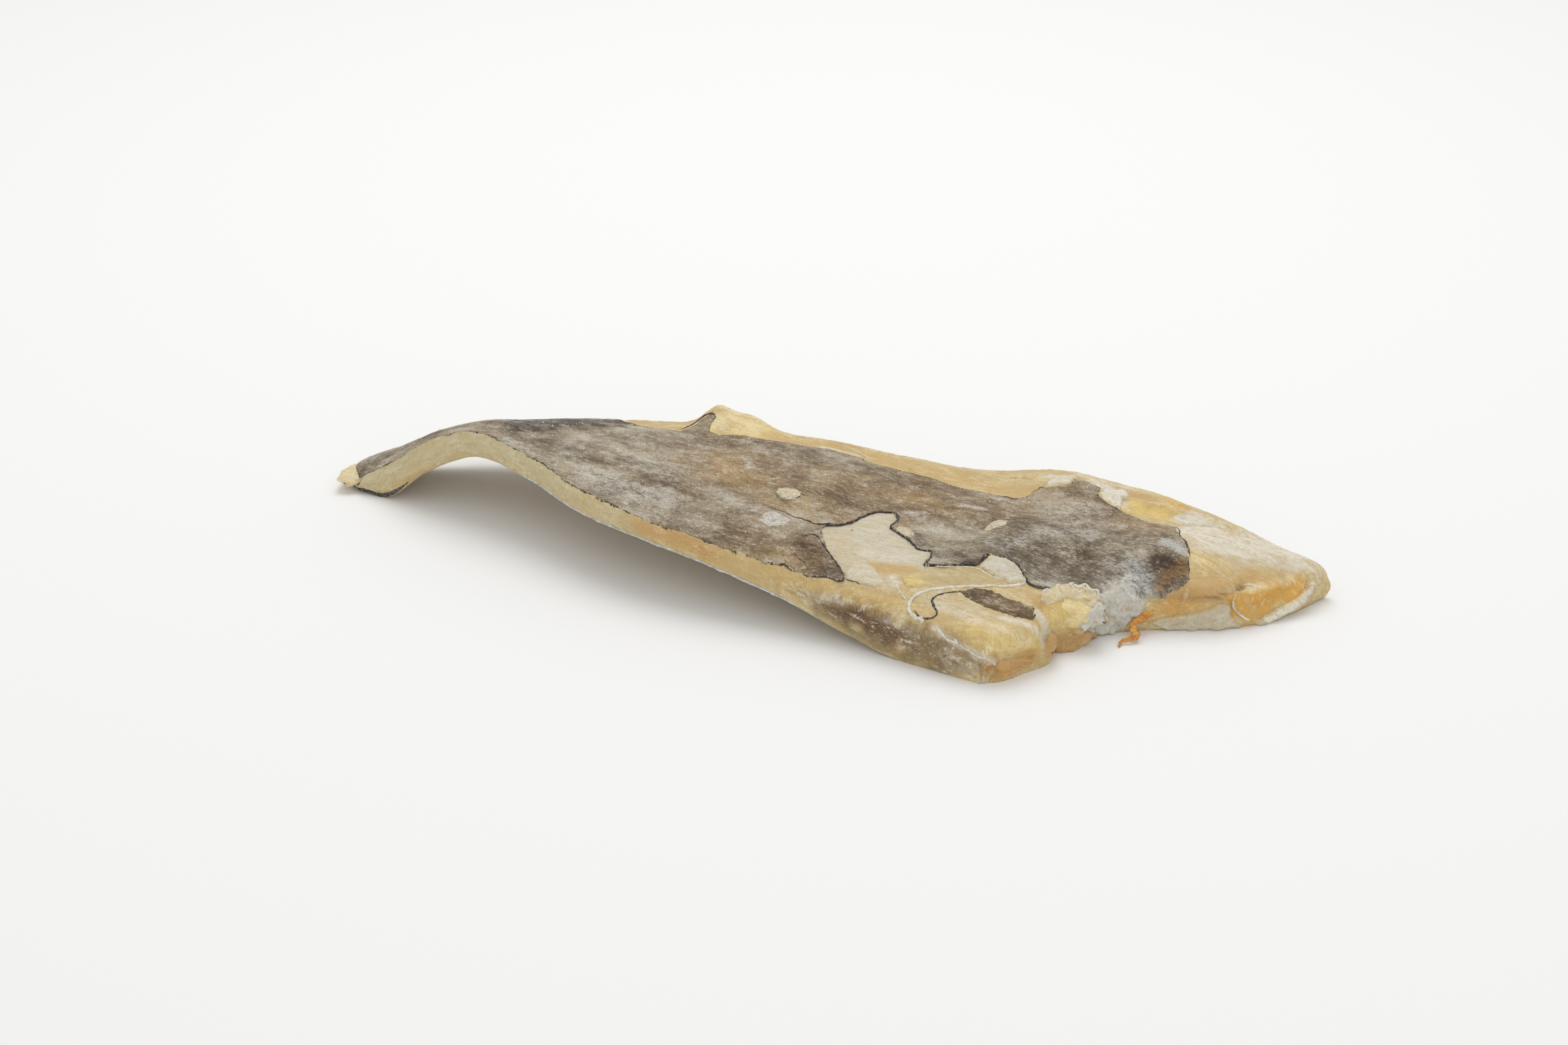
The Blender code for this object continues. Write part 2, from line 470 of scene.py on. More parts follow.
def draped(form, tree, outline, tints, thick, crumple, seed, ragged=1.2):
    """A thin closed sheet over what the photograph shows inside an outline of pixels.

    With a form, its own tints fade at its border into those of the flesh under it.
    """
    outline = pixels(outline)
    low, high = outline.min(0) - 4, outline.max(0) + 4
    xs, ys = np.arange(low[0], high[0], DRAPE_STEP), np.arange(high[1], low[1], -0.7 * DRAPE_STEP)
    grid_x, grid_y = np.meshgrid(xs, ys, indexing="ij")
    places = np.stack([grid_x.ravel(), grid_y.ravel()], -1)
    points = cast_all(tree, places)
    quads = grid_faces(len(xs), len(ys))
    normals = normals_of(points, quads)
    depth = signed_distance(places, outline) + ragged * fractal(points, 0.5, 3, seed)
    ridges = 0.5 - 2.0 * np.abs(fractal(points, (0.20, 0.09, 0.12), 3, seed + 9))
    folds = crumple * np.maximum(fractal(points, (0.10, 0.17, 0.17), 2, seed + 5) + 0.5 * ridges, -0.5)
    lift = 0.05 + (thick + folds) * smooth(depth, -0.5, 4.0)
    fields, own = {}, 1.0
    if form:
        fields = tinted(form, points, form.plan_of(points), FLESH_LINES, FLESH_AREAS, FLESH_SEED)
        own = smooth(depth, 0.0, 5.0)
    for kind in sorted(set(fields) | set(tints)):
        under_it = fields.get(kind, np.zeros(len(points)))
        fields[kind] = under_it * (1 - own) + tints.get(kind, 0.0) * own
    fields["flow"] = points * 1.0
    fields["edge"] = depth * 0.35 + 1.5
    top, under = points + normals * lift[:, None], points - normals * DRAPE_BACK
    return clipped_shell(top, under, quads, depth, fields)


def srgb(red, green, blue):
    """A linear colour from 0-255 values."""
    linear = []
    for value in (red, green, blue):
        share = value / 255
        linear.append(share / 12.92 if share <= 0.04045 else ((share + 0.055) / 1.055) ** 2.4)
    return (*linear, 1.0)


class Paint:
    """One procedural material, laid out node by node over the flow coordinates."""

    def __init__(self, name, roughness, specular=0.4, subsurface=0.0, reach=2.0):
        self.material = bpy.data.materials.new(name)
        self.material.use_nodes = True
        self.tree = self.material.node_tree
        self.shader = self.tree.nodes["Principled BSDF"]
        self.feed(self.shader, {
            "Roughness": roughness,
            "Specular IOR Level": specular,
            "Subsurface Weight": subsurface,
            "Subsurface Radius": (1.0, 0.7, 0.4),
            "Subsurface Scale": reach * MM,
        })
        self.flow = self.field("flow", "Vector")

    def feed(self, node, inputs):
        """Sets a node's inputs, or links them to other nodes' outputs."""
        for name, value in inputs.items():
            if isinstance(value, bpy.types.NodeSocket):
                self.tree.links.new(value, node.inputs[name])
            else:
                node.inputs[name].default_value = value

    def node(self, kind, inputs, output, **settings):
        """A new node's output."""
        node = self.tree.nodes.new(kind)
        for name, value in settings.items():
            setattr(node, name, value)
        self.feed(node, inputs)
        return node.outputs[output]

    def field(self, name, output="Fac"):
        return self.node("ShaderNodeAttribute", {}, output, attribute_name=name)

    def noise(self, scale, detail=4.0, roughness=0.55, distortion=0.0, shift=0.0):
        """Noise over the flow, with three scales in 1/mm."""
        place = {0: self.flow, 1: scale, 2: (shift, shift, shift)}
        inputs = {
            "Vector": self.node("ShaderNodeVectorMath", place, 0, operation="MULTIPLY_ADD"),
            "Scale": 1.0,
            "Detail": detail,
            "Roughness": roughness,
            "Distortion": distortion,
        }
        return self.node("ShaderNodeTexNoise", inputs, 0)

    def math(self, operation, a, b):
        return self.node("ShaderNodeMath", {0: a, 1: b}, 0, operation=operation)

    def total(self, *parts):
        """The sum of (value, weight) pairs."""
        result = 0.0
        for value, weight in parts:
            result = self.math("ADD", result, self.math("MULTIPLY", value, weight))
        return result

    def step(self, value, start, end, most=1.0, least=0.0):
        """An S curve from least at start to most at end."""
        inputs = {"Value": value, "From Min": start, "From Max": end, "To Min": least, "To Max": most}
        return self.node("ShaderNodeMapRange", inputs, "Result", interpolation_type="SMOOTHSTEP")

    def mix(self, factor, a, b, blend="MIX"):
        return self.node("ShaderNodeMix", {0: factor, 6: a, 7: b}, 2, data_type="RGBA", blend_type=blend)

    def mottled(self, name, grain, low, high, least, weight=1.0):
        """A tint's field, broken up by noise but never below its least share."""
        return self.math("MULTIPLY", self.field(name), self.step(grain, low, high, weight, least * weight))

    def ramp(self, value, *stops):
        colour = self.node("ShaderNodeValToRGB", {"Fac": value}, "Color")
        elements = colour.node.color_ramp.elements
        while len(elements) < len(stops):
            elements.new(0.5)
        for element, (place, *parts) in zip(elements, stops):
            element.position = place
            element.color = srgb(*parts)
        return colour

    def bump(self, height, distance):
        return self.node("ShaderNodeBump", {"Height": height, "Distance": distance * MM}, "Normal")

    def done(self, colour, **others):
        self.feed(self.shader, {"Base Color": colour, **others})
        return self.material


# Colours of the dried skin
SKIN_DARK = (92, 78, 64)
SKIN_TONES = (0.40, *SKIN_DARK), (0.455, 136, 118, 94), (0.515, 174, 160, 135), (0.60, 208, 200, 184)
SKIN_BLOOM = srgb(216, 211, 200)
SKIN_STAIN = srgb(150, 112, 66)
# Bluish salt bloom, also used as a painted sheen on the crest of the back edge
SKIN_BLUE_AND_SHEEN = srgb(176, 184, 188)
SKIN_EDGE = srgb(70, 61, 54)
CUT_EDGE = srgb(206, 190, 150)
WARM_SHADE = srgb(240, 218, 184)
DARK_SHADE = srgb(136, 126, 117)


def skin_material():
    """Grey-brown mottled skin with dark specks, a ragged edge and a bloom of dried salt."""
    paint = Paint("cod_skin", 0.62, specular=0.3)
    cloud = paint.noise((0.020, 0.030, 0.05), detail=3, roughness=0.5, distortion=0.4)
    dab = paint.noise((0.075, 0.13, 0.2), detail=6, roughness=0.66, distortion=0.4, shift=3.0)
    fine = paint.noise((0.34, 0.62, 0.8), detail=6, roughness=0.75, distortion=0.5, shift=7.0)
    speck = paint.noise((0.9, 1.3, 1.0), detail=3, roughness=0.7, distortion=0.3, shift=31.0)
    tone = paint.total((cloud, 0.29), (dab, 0.27), (fine, 0.27), (speck, 0.17))
    colour = paint.ramp(tone, *SKIN_TONES)
    colour = paint.mix(paint.mottled("warm", cloud, 0.42, 0.58, 0.6), colour, WARM_SHADE, "MULTIPLY")
    blots = paint.total((dab, 0.5), (fine, 0.5))
    colour = paint.mix(paint.mottled("dark", blots, 0.60, 0.44, 0.55), colour, DARK_SHADE, "MULTIPLY")
    frost = paint.total((fine, 0.5), (dab, 0.3), (speck, 0.2))
    colour = paint.mix(paint.step(frost, 0.52, 0.60, 0.45), colour, SKIN_BLOOM)
    colour = paint.mix(paint.mottled("bloom", frost, 0.43, 0.54, 0.15), colour, SKIN_BLOOM)
    colour = paint.mix(paint.mottled("stain", blots, 0.44, 0.56, 0.1), colour, SKIN_STAIN)
    dust = paint.total((fine, 0.6), (speck, 0.4))
    # Bluish salt bloom, and along the back edge's crest a painted sheen
    colour = paint.mix(paint.mottled("blue", dust, 0.44, 0.55, 0.15), colour, SKIN_BLUE_AND_SHEEN)
    colour = paint.mix(paint.step(speck, 0.40, 0.34, 0.6), colour, srgb(*SKIN_DARK))

    teeth = paint.noise((1.0, 0.12, 0.2), detail=3, roughness=0.6, shift=41.0)
    broken = paint.noise((0.09, 0.09, 0.1), detail=3, roughness=0.6, shift=43.0)
    worn = paint.total((paint.field("edge"), 1.0), (teeth, 4.0), (broken, 4.5))
    firm = paint.step(paint.field("bloom"), 0.5, 0.1)
    colour = paint.mix(paint.step(worn, 4.75, 4.40, firm), colour, SKIN_EDGE)
    colour = paint.mix(paint.step(worn, 3.80, 3.65), colour, CUT_EDGE)
    height = paint.total((dab, 0.6), (fine, 0.8), (speck, 0.5))
    roughness = paint.total((fine, 0.35), (0.40, 1.0))
    return paint.done(colour, Roughness=roughness, Normal=paint.bump(height, 0.8))


# Colours of the flesh, and of its tints with the weight of each
FLESH_CREAM = srgb(218, 198, 148)
FLESH_DEEP = srgb(200, 172, 116)
FLESH_SHADE = srgb(200, 172, 128)
FLESH_THREAD = srgb(246, 238, 214)
FLESH_GRAIN = srgb(240, 234, 216)
FILM_TONES = (0.40, 130, 106, 72), (0.47, 156, 132, 94), (0.54, 184, 164, 126), (0.64, 212, 204, 186)
TINTS_OF_FLESH = (
    ("beige", srgb(211, 202, 178), 0.95),
    ("green", srgb(204, 193, 155), 0.95),
    ("golden", srgb(206, 172, 106), 0.95),
    ("yellow", srgb(231, 202, 124), 0.95),
    ("amber", srgb(200, 152, 84), 0.95),
    ("grey", srgb(172, 157, 127), 0.92),
    ("olive", srgb(132, 112, 74), 0.92),
    # Rust brown of dried flesh, which also serves as painted shade in dents and under lumps
    ("rust", srgb(116, 84, 52), 0.95),
    ("white", srgb(236, 232, 220), 0.95),
    # Dark brown painted shade for the creases
    ("crease", srgb(112, 84, 54), 0.9),
    ("honey", srgb(220, 170, 80), 0.95),
    ("pearl", srgb(206, 206, 198), 0.9),
    ("butter", srgb(240, 222, 170), 0.95),
)


def flesh_material():
    """Waxy cream flesh with fibres, its tinted parts, and the brown membrane of the belly."""
    paint = Paint("cod_flesh", 0.42, specular=0.4, subsurface=0.2, reach=3.0)
    cloud = paint.noise((0.045, 0.08, 0.12), detail=4, roughness=0.55, distortion=0.6)
    fibre = paint.noise((0.09, 0.34, 0.3), detail=5, roughness=0.62, distortion=0.6, shift=11.0)
    fine = paint.noise((0.45, 0.75, 0.7), detail=4, roughness=0.62, distortion=0.6, shift=5.0)
    grain = paint.noise((2.2, 2.6, 2.6), detail=2, roughness=0.6, shift=23.0)
    thread = paint.noise((0.5, 0.8, 0.8), detail=5, roughness=0.7, distortion=1.2, shift=37.0)
    tone = paint.total((cloud, 0.45), (fibre, 0.3), (fine, 0.25))
    colour = paint.mix(paint.step(tone, 0.40, 0.60), FLESH_DEEP, FLESH_CREAM)
    uneven = paint.total((fibre, 0.4), (fine, 0.4), (cloud, 0.2))
    brown = paint.mottled("membrane", uneven, 0.38, 0.54, 0.45)
    colour = paint.mix(brown, colour, paint.ramp(tone, *FILM_TONES))
    for name, tint, weight in TINTS_OF_FLESH:
        colour = paint.mix(paint.mottled(name, uneven, 0.40, 0.56, 0.5, weight), colour, tint)

    clouded, membrane = paint.step(cloud, 0.42, 0.60), paint.field("membrane")
    fibrous = paint.total((clouded, 0.26), (membrane, 0.34), (0.06, 1.0))
    deep = paint.total((thread, 0.5), (fine, 0.25), (fibre, 0.25))
    colour = paint.mix(paint.step(deep, 0.52, 0.42, fibrous), colour, FLESH_SHADE, "MULTIPLY")
    pale = paint.total((thread, 0.3), (fibre, 0.4), (fine, 0.3))
    colour = paint.mix(paint.step(pale, 0.51, 0.60, fibrous), colour, FLESH_THREAD)
    colour = paint.mix(paint.step(grain, 0.56, 0.70, 0.3), colour, FLESH_GRAIN)
    height = paint.total((fibre, 0.7), (fine, 0.6), (thread, 0.15), (grain, 0.2))
    roughness = paint.total((fine, 0.4), (0.22, 1.0))
    return paint.done(colour, Roughness=roughness, Normal=paint.bump(height, 0.9))


# Simple materials: roughness, specular and subsurface; a fine and a coarse noise; the shares of both
# in the relief; its depth in mm; and the ramp of colours over the fine noise
PLAIN_MATERIALS = {
    # Blackish curled edge of torn skin
    "cod_rim": (
        (0.6, 0.3), ((0.5, 0.7, 0.7), 4, 0.65), ((2.2, 2.2, 2.2), 2),
        (0.0, 1.0), 0.4, ((0.36, 46, 42, 44), (0.50, 78, 73, 74), (0.64, 132, 120, 104)),
    ),
    # White dried strands of membrane
    "cod_film": (
        (0.5, 0.4, 0.15), ((0.5, 0.9, 0.9), 5, 0.65, 0.8), ((2.0, 2.6, 2.6), 3, 0.55, 0.0, 9.0),
        (0.8, 0.4), 0.5, ((0.34, 206, 192, 160), (0.48, 224, 217, 198), (0.62, 238, 236, 228)),
    ),
    # Bluish white line of belly membrane under the cut edge
    "cod_edge_film": (
        (0.5,), ((0.25, 0.8, 0.8), 5, 0.65, 0.8), ((2.0, 2.0, 2.0), 2),
        (1.0, 0.0), 0.4, ((0.36, 172, 162, 140), (0.50, 196, 198, 194), (0.64, 216, 222, 226)),
    ),
    # Loose pale scales and flakes on the skin
    "cod_scale": (
        (0.5,), ((0.6, 0.9, 0.9), 4, 0.6), ((2.4, 2.4, 2.4), 2, 0.55, 0.0, 4.0),
        (0.0, 1.0), 0.25, ((0.36, 172, 156, 124), (0.50, 204, 190, 158), (0.66, 222, 212, 188)),
    ),
    # Orange-brown dried scraps
    "cod_amber": (
        (0.38, 0.5, 0.2), ((0.4, 0.5, 0.5), 5, 0.65, 0.5), ((2.0, 2.0, 2.0), 2, 0.55, 0.0, 4.0),
        (0.8, 0.3), 0.6, ((0.36, 176, 112, 42), (0.50, 212, 146, 56), (0.64, 228, 182, 100)),
    ),
    # Grains of salt
    "cod_salt": (
        (0.3, 0.5), ((1.5, 1.5, 1.5), 3), ((2.0, 2.0, 2.0), 2),
        (1.0, 0.0), 0.2, ((0.4, 222, 218, 206), (0.6, 242, 242, 240)),
    ),
}


def plain_material(name):
    """A ramp of colours over a fine noise, with relief of it and of a coarse one."""
    surface, fine, coarse, shares, depth, stops = PLAIN_MATERIALS[name]
    paint = Paint(name, *surface)
    tone = paint.noise(*fine)
    height = paint.total((tone, shares[0]), (paint.noise(*coarse), shares[1]))
    return paint.done(paint.ramp(tone, *stops), Normal=paint.bump(height, depth))


# Outlines in pixels: the skin's tears, the torn hole in it, and bits that lie on the flesh
FRONT_TEAR = "1205,862 1222,866 1240,866 1256,873"
HOLE = (
    "1266,871 1266,862 1258,849 1249,837 1240,823 1234,808 1233,792 1240,788 1260,788 1276,784 1290,777 "
    "1305,771 1317,768 1341,769 1347,780 1340,786 1334,792 1350,801 1365,811 1377,824 1396,827 1395,838 "
    "1385,847 1415,849 1444,847 1466,847 1482,831 1510,838 1527,848 1537,866 1545,877 1561,882"
)
RIGHT_TEAR = (
    "1600,884 1622,886 1643,891 1640,906 1650,912 1690,908 1729,914 1740,904 1751,892 1774,883 1784,872 "
    "1784,851 1784,834 1781,817 1770,803 1763,790 1749,786 1717,780 1690,770 1678,763 1668,757 1660,748 "
    "1649,743 1655,734 1640,725 1622,718 1606,725 1580,727 1561,730 1551,735 1541,744"
)
BACK_TEAR = (
    "1520,747 1485,739 1434,729 1398,716 1357,706 1306,693 1286,683 1255,673 1204,668 1163,660 1120,653 "
    "1100,651 1078,652 1064,645 1066,635 1074,624 1067,620 1052,628 1038,639 1020,646 1000,643 965,638 "
    "935,631"
)
SECOND_PATCH = (
    "1439,887 1464,883 1487,886 1507,896 1530,904 1548,910 1552,919 1548,931 1530,927 1504,920 1484,913 "
    "1461,903 1447,894"
)
GREY_SACK = (
    "1618,938 1630,924 1640,906 1656,888 1676,886 1700,890 1718,902 1712,920 1694,932 1684,944 1668,951 "
    "1642,952 1624,948"
)
RUFFLE = (
    "1560,902 1564,890 1578,882 1600,876 1622,878 1642,886 1652,902 1646,914 1634,910 1620,902 1600,898 "
    "1584,904 1572,908"
)

# Tints of the skin and the flesh along lines: kind, and width in mm, strength and pixels of each
SKIN_LINES = {
    "dark": (
        (34, 0.88, "1480,848 1570,840 1640,850 1700,866"), (9, 0.8, "1470,838 1410,832 1375,806"),
        (9, 0.6, "1200,806 1222,836 1245,862"), (14, 0.4, "905,655 980,664 1060,668"),
        (6, 0.25, "880,722 960,768 1060,795 1150,830"), (12, 0.6, "540,706 600,672 660,648"),
        (11, 0.4, "1160,672 1250,690 1340,716"), (20, 0.55, "1530,790 1620,806 1730,806"),
        (18, 0.65, "820,664 870,680"), (14, 0.45, "1420,780 1460,784"),
        (24, 1.25, "790,636 850,630 925,634"),
    ),
    "bloom": (
        (20, 0.35, "960,690 1020,706"), (16, 0.3, "1590,775 1625,790"),
        (16, 0.6, "890,712 930,732 1000,752"), (8, 0.5, "760,660 800,680"),
        (10, 0.5, "1080,740 1120,760"), (3.5, 1.0, "1120,690 1126,700"), (2.0, 1.0, "1154,724 1162,726"),
        (3.0, 0.8, "1443,758 1476,764"), (3.0, 0.8, "1488,746 1500,749"),
        (3.5, 0.7, "1362,768 1386,772 1380,782"), (10, 0.45, "1520,816 1560,796 1640,800"),
        (12, 0.5, "1580,745 1640,765"), (8, 0.5, "1660,850 1700,850"), (5, 1.0, "1752,812 1776,826"),
    ),
    "warm": (
        (18, 0.7, "1560,735 1640,760 1740,795"), (46, 1.0, "1090,700 1200,735 1290,745 1380,740"),
        (26, 0.9, "1120,810 1210,830"), (26, 0.8, "1260,760 1420,760 1500,765"),
    ),
    "stain": (
        (8, 1.0, "1738,876 1752,862 1770,848"), (7, 0.35, "1208,812 1226,840"),
        (5, 0.35, "1545,742 1600,752"),
    ),
    # The first line, along the crest of the back edge, is a painted sheen; the others are bluish salt
    # bloom
    "blue": (
        (12, 0.25, "780,634 850,631 900,633"), (7, 0.6, "1690,880 1720,900"),
        (5, 0.6, "1752,814 1778,824"), (8, 0.6, "1700,846 1720,868 1706,892"),
    ),
}
FLESH_LINES = {
    "green": (
        (16, 1.0, "545,722 600,690 700,656 780,680 850,735"), (12, 0.6, "850,735 960,795"),
    ),
    "golden": (
        (11, 0.75, "980,798 1080,832 1180,866 1262,890 1330,905"), (5, 0.9, "935,628 1000,641 1040,645"),
        (8, 0.85, "1140,646 1170,656 1200,664"),
        (12, 0.85, "1200,662 1300,684 1400,708 1480,730 1545,738"),
        (16, 0.3, "1246,802 1266,828 1292,846"), (5, 0.9, "1304,848 1340,850 1370,854"),
        (9, 0.5, "1372,912 1440,930 1480,940"), (10, 1.0, "1560,900 1600,910 1630,906"),
        (8, 0.7, "1790,862 1850,858 1920,858 1950,866"),
    ),
    # Orange-brown flesh; the first line, low on the front flank, is partly painted shade that darkens the
    # flank there
    "amber": (
        (9, 0.8, "955,788 1010,808 1060,826"), (5, 0.6, "1166,656 1190,664"),
        (7, 0.3, "1480,735 1540,738"), (9, 0.9, "1492,1004 1520,1000 1550,990"),
        (4, 0.6, "1700,742 1752,752 1784,762"), (7, 0.7, "1786,886 1830,876 1880,866"),
    ),
    "yellow": (
        (16, 0.5, "1070,625 1100,612 1140,626 1166,644"), (14, 0.8, "1470,950 1520,962 1550,972"),
        (10, 1.0, "1580,925 1620,925"), (9, 1.2, "1692,758 1740,768 1762,778"),
        (6, 0.7, "1792,830 1810,842 1840,848"),
    ),
    "butter": (
        (12, 1.0, "1062,632 1084,616 1120,618 1140,634"), (4, 0.8, "1876,884 1905,878 1938,868"),
    ),
    "white": (
        (2.2, 0.9, "1210,669 1240,672 1290,684"), (7, 0.4, "1300,830 1350,838 1370,832"),
        (4, 0.9, "1338,866 1345,872"), (2.5, 1.0, "1080,638 1087,640"),
        (2.2, 0.35, "1200,888 1236,898 1262,906"), (3, 0.8, "1500,928 1530,934 1552,944 1562,960"),
        (1.3, 0.5, "1290,914 1340,936 1378,956"), (1.6, 0.5, "1440,1000 1456,1012 1472,1024"),
        (2.6, 0.9, "1402,942 1412,952 1432,966 1470,984 1492,998"),
        (4, 0.45, "1404,906 1440,922 1490,944 1540,962"), (5, 1.0, "1568,714 1600,716"),
        (6, 1.0, "1640,720 1668,738 1684,756"), (2.5, 0.8, "1560,703 1620,712 1690,732"),
        (4, 0.9, "1774,796 1810,800 1846,808"), (5, 0.7, "1888,814 1930,824 1972,846"),
    ),
    "beige": (
        (8, 0.8, "1275,862 1330,876"), (12, 0.5, "1400,900 1440,910 1480,930 1520,950"),
        (8, 1.0, "1830,848 1870,846 1920,848 1950,854"),
    ),
    "olive": (
        (10, 1.2, "1262,914 1330,944 1400,974"), (7, 1.0, "1225,912 1300,958 1390,998"),
    ),
    # Rust brown; the line under the notch lumps is a painted shadow, and the short lines in the two dents
    # by the tip are painted shade
    "rust": (
        (8.5, 1.35, "1270,920 1300,932 1340,950"), (2.4, 0.6, "1350,962 1390,984 1412,1000"),
        (2.2, 0.6, "1846,900 1848,914"), (5, 0.45, "1742,904 1775,898 1796,902"),
        (2.5, 0.8, "1572,950 1602,954 1634,946"), (2.2, 0.5, "1935,885 1905,912"),
    ),
    # Painted shade: dark lines along the creases and dents of the folds
    "crease": (
        (1.4, 0.9, "1232,906 1290,936 1352,968"), (1.4, 0.8, "1416,984 1444,1002 1462,1018"),
        (1.3, 1.0, "1800,900 1823,899 1843,891 1863,880"), (1.2, 0.3, "1790,868 1830,862"),
    ),
    "grey": (
        (5, 0.35, "1205,890 1262,908"),
    ),
    "honey": (
        (6, 0.8, "1738,914 1766,908 1796,908"),
    ),
}

# Tints inside outlines: kind, and softness in mm, strength and pixels of each
SKIN_AREAS = {
    "dark": (
        (4, 1.0, "1700,850 1722,826 1760,822 1786,850 1783,873 1745,892 1712,884"),
    ),
    "bloom": (
        (0.6, 1.4, "1140,780 1145,770 1160,767 1175,772 1183,780 1175,787 1155,789"),
        (5, 1.8, "1640,910 1662,880 1690,862 1706,870 1728,890 1722,916 1690,916"),
    ),
}
FLESH_AREAS = {
    "beige": (
        (3, 1.15, "1222,784 1290,764 1352,760 1406,824 1388,852 1300,848 1268,880 1252,866 1232,832"),
    ),
    "amber": (
        (1.5, 0.3, "1302,846 1330,845 1362,848 1378,853 1366,858 1340,861 1315,856"),
        (3, 0.9, "1722,912 1752,892 1782,878 1800,880 1840,884 1836,906 1770,918"),
    ),
    "grey": (
        (2, 0.35, "1376,855 1410,850 1450,850 1490,864 1530,876 1450,880 1400,880"),
        (2, 1.0, "1392,980 1420,970 1450,978 1474,992 1474,1016 1440,1016 1406,1000"),
    ),
    "membrane": (
        (3.5, 1.2, "1180,880 1262,905 1345,925 1404,950 1440,968 1474,988 1474,1026 1420,1010 1340,972 "
         "1270,935"),
    ),
    "honey": (
        (2, 0.35, "1750,752 1776,752 1786,766 1764,764"),
        (1.2, 1.6, "1840,898 1852,890 1866,896 1878,934 1850,926"),
        (2, 1.6, "1866,890 1900,874 1950,864 1960,874 1932,904 1888,930"),
    ),
    "yellow": (
        (2, 0.8, "1740,752 1778,750 1790,768 1760,768"),
    ),
    "white": (
        (5, 0.8, "1762,790 1786,766 1850,796 1960,832 1975,860 1900,842 1790,826"),
    ),
}

# Seeds of the noise on the tints' borders
SKIN_SEED, FLESH_SEED = 5, 4

# Folds and dents of the flesh: reach in mm, height in mm and pixels
FOLDS = (
    (2.5, -1.0, "1160,652 1255,670 1357,694 1450,713 1550,717"), (2.0, 0.7, "1200,662 1306,688 1400,712"),
    (3.0, -1.2, "1690,764 1745,770 1770,778"), (1.8, 1.3, "1690,748 1743,760 1775,770"),
    (5.0, 1.2, "1790,800 1860,820 1950,838"), (1.5, -1.8, "1788,898 1823,899 1845,891 1865,880"),
    (3.0, 0.9, "1790,884 1830,880 1860,868"), (3.0, -3.2, "1846,906 1856,922"),
    (5.0, -3.6, "1888,912 1912,898 1938,882"), (1.6, 1.5, "1862,890 1858,910 1880,934"),
    (3.5, 1.2, "1345,912 1420,942 1520,972"), (2.4, -1.2, "1300,908 1380,948 1450,976"),
    (2.0, -0.6, "1290,882 1350,896 1372,905"), (2.2, -2.2, "1496,990 1520,984 1552,982"),
    (7.0, -2.6, "1494,1014 1530,1002 1552,994"), (5.5, -3.0, "1483,998 1484,1012 1485,1030"),
    (3.0, -1.2, "1476,1028 1500,1030 1530,1018"), (9.0, 1.3, "1470,945 1520,958 1550,966"),
    (3.4, -3.5, "1564,905 1572,925 1570,960"), (2.2, -0.7, "1380,850 1440,854 1480,856"),
    (1.6, 0.5, "1262,912 1340,946 1410,978"), (1.6, -0.5, "1250,918 1330,958 1400,990"),
)

# Dark curled edges of the torn skin: radius in mm and pixels
RIMS = (
    (0.22, "1144,756 1158,762 1176,768 1192,776 1204,779"), (0.5, "1196,776 1210,781 1222,786 1232,785"),
    (0.75, "1222,786 1240,787 1258,788 1275,784 1290,778 1305,772"),
    (0.3, "1302,772 1317,768 1330,768 1341,769"), (0.6, "1343,768 1347,775 1346,781 1340,786 1335,790"),
    (0.55, "1336,789 1342,797 1352,803 1365,811 1374,821 1384,826 1396,827 1396,836 1390,842 1384,847"),
    (0.5, "1200,801 1207,804 1216,802 1225,804 1231,811"),
    (0.42, "1230,810 1238,822 1248,836 1258,850 1265,863"), (0.28, "1266,866 1275,871 1283,873 1291,877"),
    (0.22, "1192,830 1198,838 1206,843 1212,853"),
    (0.6, "1440,846 1450,843 1458,848 1468,845 1476,839 1484,832"), (0.6, "1452,849 1460,844 1470,848"),
    (0.35, "1510,838 1524,846 1533,858 1538,868"), (0.5, "1277,795 1279,796"),
    (0.65, "1536,866 1543,875 1553,880 1563,882 1572,881"),
    (0.5, "1444,887 1424,889 1407,893 1399,899 1399,906 1404,916 1405,922 1399,927 1388,928 1378,925 "
     "1371,915"),
    (0.6, "1548,909 1553,919 1549,932"), (0.45, "1018,645 1036,639 1051,628 1066,620 1074,622"),
    (0.35, "1502,745 1512,746 1522,749 1528,747"), (0.4, "1606,726 1612,720 1620,716"),
    (0.35, "1664,758 1674,762 1681,764"), (0.4, "1194,739 1201,741 1208,743"), (0.5, "1182,741 1187,743"),
    (0.3, "1163,739 1168,747 1176,751 1188,751"), (0.35, "1202,742 1194,748"),
    (0.35, "1763,790 1769,796 1770,804 1778,812 1783,824 1785,836"),
    (0.3, "1643,931 1655,934 1670,934 1682,932 1689,934"),
)

